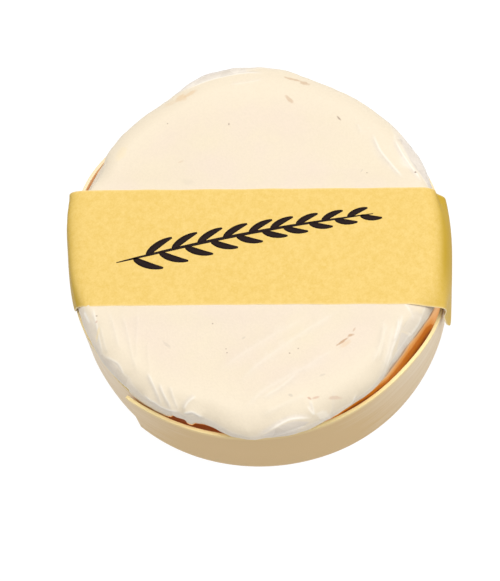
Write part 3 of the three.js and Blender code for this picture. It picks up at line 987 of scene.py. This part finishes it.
# Where an edge of a side is pinched in: side, place across the band, height, depth, and over
# what height and share of the width
pinches = [
    (1, -1, 24.7, 1.7, 3.65, 0.3), (1, 1, 30.3, 1.5, 1.9, 0.3), (-1, -1, 32.6, 0.8, 1.6, 0.35),
    (1, -1, 20.0, 0.8, 2.4, 0.25), (-1, 1, 30.0, 1.2, 14.0, 0.30),
]
left_skew = 2.6             # how far back the near edge is drawn on the left, from fold to rim
left_fold = 33.5            # height of that fold
wave_lift = 0.02
edge_ripple = 0.14
band_sharp = 60             # from this turn between two faces, in degrees, the edge is sharp
near_flare = 0.25           # how much wider the band lies at its near left than in the middle
band_cuts_along = 300
band_cuts_across = 72
band_gold = (0.80, 0.57, 0.18, 1)
band_gold_deep = (0.71, 0.475, 0.10, 1)
band_side_painted_shade = (0.54, 0.34, 0.015, 1)
# The card's paler core at its cut, made lighter as a painted highlight along its edges
card_cut_highlight = (0.97, 0.82, 0.52, 1)
side_shade_from = 0.2            # painted shade: its sides are coloured deeper from here down to the next, below its top
side_shade_to = 3.0


def bezier(start, first, second, end, steps):
    """Points after the start, up to the end."""
    t = np.linspace(0, 1, steps + 1)[1:, None]
    start, first, second, end = (np.array(p, float) for p in (start, first, second, end))
    return ((1 - t) ** 3 * start + 3 * (1 - t) ** 2 * t * first
            + 3 * (1 - t) * t ** 2 * second + t ** 3 * end)


def band_line():
    """Middle line of the card seen along its width: left side, top and right side."""
    top = band_top - card / 2
    lean = left_lean - band_left
    return np.vstack([
        [(-band_left, band_ends[-1][0]), (-band_left, rim_height), (lean, top - left_fall)],
        bezier((lean, top - left_fall), (lean, top), (-flat_left - 5, top), (-flat_left, top), 40),
        [(flat_right, top)],
        bezier((flat_right, top), (band_right - 2, top), (band_right, top - right_fall),
               (band_right, rim_height), 60),
        [(band_right, band_ends[1][0])],
    ])


def hoop_reach(side, y):
    """How far the hoop reaches to one side at a place across the band."""
    angle = np.degrees(np.arctan2(y, side * hoop_radius))
    turned = (angle - strip_start) % 360 + strip_start
    return np.sqrt(strip_radius(turned) ** 2 - y ** 2)


def bend_card(places, line):
    """Bends the flat strip along its line. Its length runs along x and its outer face is +z."""
    along, across, out = places.T
    runs = np.concatenate([[0], np.cumsum(np.linalg.norm(np.diff(line, axis=0), axis=1))])
    slope = np.gradient(line, runs, axis=0)
    slope /= np.linalg.norm(slope, axis=1)[:, None]
    x, z, run_x, run_z = (
        np.interp(along, runs, values)
        for values in (line[:, 0], line[:, 1], slope[:, 0], slope[:, 1])
    )
    length = np.hypot(run_x, run_z)
    return np.stack([x - out * run_z / length, across, z + out * run_x / length], axis=1)


def card_wave(x, y):
    """How far the top of the card waves up and down."""
    return 0.05 * soft_noise(x * 0.06, y * 0.05, 1.3) + 0.02 * soft_noise(x * 0.02, y * 0.25, 4.0)


def lay_band(places):
    """Draws the straight sides in to the round hoop, and lets the edges curl and sink."""
    x, y, z = places.T
    side = np.where(x < 0, -1, 1)
    across = (y - band_middle) / (band_width / 2)
    end_height, corner = np.array([band_ends[s] for s in side]).T
    round_part = np.clip((np.abs(across) - 1) * band_width / 2 / corner + 1, 0, 1)
    cut = corner * (1 - np.sqrt(1 - round_part ** 2))
    z = z + np.maximum(0, rim_height - z) * cut / (rim_height - end_height)
    near_share = np.maximum(0, -across) * (side < 0)
    y = y + left_skew * near_share * np.maximum(0, (left_fold - z) / (left_fold - rim_height))
    y = y - near_flare * near_share * rise(-x, 0, 45) * rise(z, 33.0, 34.0)
    middle, far, near = np.array([stand_off[s] for s in side]).T
    off = middle + np.where(across > 0, far, near) * across ** 2
    reach = np.where(side < 0, band_left, band_right)
    draw_in = reach - (hoop_reach(side, y) + fit + card / 2 + off)
    for pinched, edge, height, depth, over_height, over_share in pinches:
        away = ((z - height) / over_height) ** 2 + ((across - edge) / over_share) ** 2
        draw_in += np.where(side == pinched, depth * np.exp(-away), 0)
    draw_in *= rise(np.abs(x), turn_from, hoop_radius)
    on_top = rise(z, band_top - 4, band_top) * rise(x, droop_from, droop_to)
    sunk = near_droop * np.maximum(0, -across) ** 3 * on_top
    wave = np.array([card_wave(*place) for place in zip(x, y)])
    lifted = np.maximum(0, wave + wave_lift) * rise(z, 33, 33.8)
    ripple = np.array([soft_noise(a * 0.11, b, 9.0) for a, b in zip(x, np.sign(across) * 3)])
    y_out = edge_ripple * ripple * rise(np.abs(across), 0.9, 1.0) * rise(z, 33, 33.8)
    return np.stack([x - side * draw_in, y + y_out, z + lifted - sunk], axis=1)


def make_band_card():
    material, tree, shader = new_material("Golden card", {
        "Roughness": 0.55, "Specular IOR Level": 0.25,
    })
    mottle = place_group(tree, mottle_group, {
        "Place": place_on_part(tree), "Cloud Size": 0.0016, "Fibre Size": 0.0005,
    })
    fleck = maths(tree, "MULTIPLY", mottle["Fibre"], 0.45)
    tone = maths(tree, "ADD", maths(tree, "MULTIPLY", mottle["Cloud"], 0.45), fleck)
    card_colour = blend_colours(tree, tone, band_gold, band_gold_deep)
    # Painted shade on the band's sides
    card_colour = blend_colours(tree, mark(tree, "steep"), card_colour, band_side_painted_shade)
    # The cut edges: the card's paler core with a painted highlight
    card_colour = blend_colours(tree, mark(tree, "card_cut"), card_colour, card_cut_highlight)
    attach(tree, shader, card_colour, height=mottle["Height"], bump=0.15, depth=0.0001)
    return material


card_line = band_line()
band_length = float(np.linalg.norm(np.diff(card_line, axis=0), axis=1).sum())
bm = straight_strip(
    (band_length, band_width, card), (band_length / 2, band_middle, 0),
    card_wear, [(1, band_cuts_across), (0, band_cuts_along)],
)
flat_places = vertex_array(bm)
cut_layer = bm.verts.layers.float.new("card_cut")
for v in bm.verts:
    from_edge = band_width / 2 - abs(v.co.y - band_middle)
    v[cut_layer] = float(rise(from_edge, card_wear * 1.5, 0))
laid = lay_band(bend_card(flat_places, card_line))
# Painted shade on the band's sides, less of it at the near right
side_shade_layer = bm.verts.layers.float.new("steep")
for v, place in zip(bm.verts, laid):
    near_right = rise(place[0], 45, 50) * rise(band_middle - place[1], 2, band_width / 2)
    steep = rise(band_top - place[2], side_shade_from, side_shade_to) * (1 - 0.5 * near_right)
    v[side_shade_layer] = float(steep)
move_vertices(bm, laid)
bmesh.ops.recalc_face_normals(bm, faces=bm.faces)
band = add_piece("paper_band_strip", bm, make_band_card(), "band_card", "paper_band")
band.data.set_sharp_from_angle(angle=math.radians(band_sharp))

# The ink motif: a plain sprig of leaves on the band's top, brushed on in black-brown ink. The
# ink is a thin film that follows the card's waves.
ink_black = (0.009, 0.004, 0.004, 1)
ink_brown = (0.02, 0.009, 0.008, 1)
ink_thickness = 0.02
stem_start = (-39.8, -6.9)
stem_end = (34.6, 8.4)
stem_width = 1.0
stem_arch = 1.3
stem_steps = 60
leaf_count = 19
leaf_steps = 14
leaf_curl = 0.28
first_leaf = 0.07           # share of the stem at the first leaf, and between it and the last
leaf_span = 0.88
leaf_lean = (10, 46, 14)    # degrees: both sides, each side, and how much less toward the tip
leaf_length = 9.6
leaf_width = 2.2


def make_ink():
    material, tree, shader = new_material("Brushed ink", {
        "Roughness": 0.7, "Specular IOR Level": 0.15,
    })
    mottle = place_group(tree, mottle_group, {
        "Place": place_on_part(tree), "Cloud Size": 0.002, "Fibre Size": 0.0003,
    })
    ink = blend_colours(tree, mottle["Fibre"], ink_black, ink_brown)
    attach(tree, shader, ink, height=mottle["Height"], bump=0.1, depth=0.00005)
    return material


def brush_stroke(bm, route, width, blunt):
    """A ribbon that follows a route of points in plan, with a rounded start and a drawn-out end."""
    steps = len(route) - 1
    grid = bmesh.ops.create_grid(bm, x_segments=steps, y_segments=2, size=0.5)["verts"]
    route = np.array(route)
    along = np.gradient(route, axis=0)
    along /= np.linalg.norm(along, axis=1)[:, None]
    for v in grid:
        share = v.co.x + 0.5
        i = round(share * steps)
        swelling = math.sin(math.pi * (0.03 + 0.94 * share ** blunt)) ** 0.6
        off = v.co.y * width * swelling
        x, y = route[i] + off * np.array((-along[i][1], along[i][0]))
        v.co = (x, y, 0)


bm = bmesh.new()
stem = [
    (x, y + stem_arch * math.sin(3.2 * share))
    for share, (x, y) in zip(
        np.linspace(0, 1, stem_steps + 1),
        np.linspace(stem_start, stem_end, stem_steps + 1),
    )
]
brush_stroke(bm, stem, stem_width, 0.8)
for leaf in range(leaf_count):
    share = first_leaf + leaf_span * leaf / (leaf_count - 1)
    root = np.array(stem[round(share * stem_steps)])
    side = 1 if leaf % 2 else -1
    lean = math.radians(leaf_lean[0] + side * (leaf_lean[1] - leaf_lean[2] * share))
    length = leaf_length * (1 - 0.35 * share)
    route = []
    for t in np.linspace(0, 1, leaf_steps + 1):
        bend = lean - side * leaf_curl * t
        route.append(root + length * t * np.array((math.cos(bend), math.sin(bend))))
    brush_stroke(bm, route, leaf_width * (1 - 0.2 * share), 0.75)
wet = bmesh.ops.extrude_face_region(bm, geom=bm.faces[:])["geom"]
top_side = [part for part in wet if isinstance(part, bmesh.types.BMVert)]
bmesh.ops.translate(bm, vec=(0, 0, ink_thickness), verts=top_side)
for v in bm.verts:
    v.co.z += band_top + max(0, card_wave(v.co.x, v.co.y) + wave_lift)
bmesh.ops.recalc_face_normals(bm, faces=bm.faces)
add_piece("ink_sprig", bm, make_ink(), "band_ink")

# The studio: a plain white table under a large square soft light. All round it is white, so
# that the light has no hard shadows.
floor_size = 4.0
floor_squares = 8
floor_white = (0.10, 0.10, 0.10, 1)
floor_glow = 0.93
light_size = 1.6
light_place = (0.20, 0.18, 1.5)
light_watts = 26.5
sky_strength = 0.40


bm = bmesh.new()
bmesh.ops.create_grid(
    bm, x_segments=floor_squares, y_segments=floor_squares, size=floor_size / 2
)
floor_mesh = bpy.data.meshes.new("table")
bm.to_mesh(floor_mesh)
bm.free()
table_white = new_material("White table", {
    "Base Color": floor_white, "Roughness": 0.9,
    "Emission Color": (1, 1, 1, 1), "Emission Strength": floor_glow,
})[0]
floor_mesh.materials.append(table_white)
put_in_scene("table", floor_mesh)

lamp = bpy.data.lights.new("softbox", "AREA")
lamp.shape = "SQUARE"
lamp.size = light_size
lamp.energy = light_watts
softbox = put_in_scene("softbox", lamp)
softbox.location = light_place
softbox.rotation_euler = (-Vector(light_place)).to_track_quat("-Z", "Y").to_euler()

world = bpy.data.worlds.new("white surroundings")
world.use_nodes = True
sky = world.node_tree.nodes["Background"].inputs
sky["Color"].default_value = (1, 1, 1, 1)
sky["Strength"].default_value = sky_strength
bpy.context.scene.world = world
bpy.context.scene.view_settings.view_transform = "Standard"

# The camera looks down on the tray from the near side, as in the photograph, and is turned a
# little about its own axis.
camera_azimuth = math.radians(11.69)
camera_elevation = math.radians(65.52)
camera_roll = 0.191
camera_distance = 0.600
look_at = (-3.714, -0.719, 0.0)         # from the tray's middle, in millimetres
sensor = 36.0
focal_length_px = 1960.1                # in pixels of the image
image_height_px = 581

back = Vector((
    math.sin(camera_azimuth) * math.cos(camera_elevation),
    -math.cos(camera_azimuth) * math.cos(camera_elevation),
    math.sin(camera_elevation),
))
level = Vector((math.cos(camera_azimuth), math.sin(camera_azimuth), 0))
upward = back.cross(level)
right = level * math.cos(camera_roll) - upward * math.sin(camera_roll)
up = level * math.sin(camera_roll) + upward * math.cos(camera_roll)
camera_data = bpy.data.cameras.new("camera")
camera_data.sensor_width = sensor
camera_data.lens = focal_length_px * sensor / image_height_px
camera = put_in_scene("camera", camera_data)
turn = Matrix((right, up, back)).transposed().to_4x4()
eye = tray_place @ Vector(look_at) + back * camera_distance
camera.matrix_world = Matrix.Translation(eye) @ turn
bpy.context.scene.camera = camera
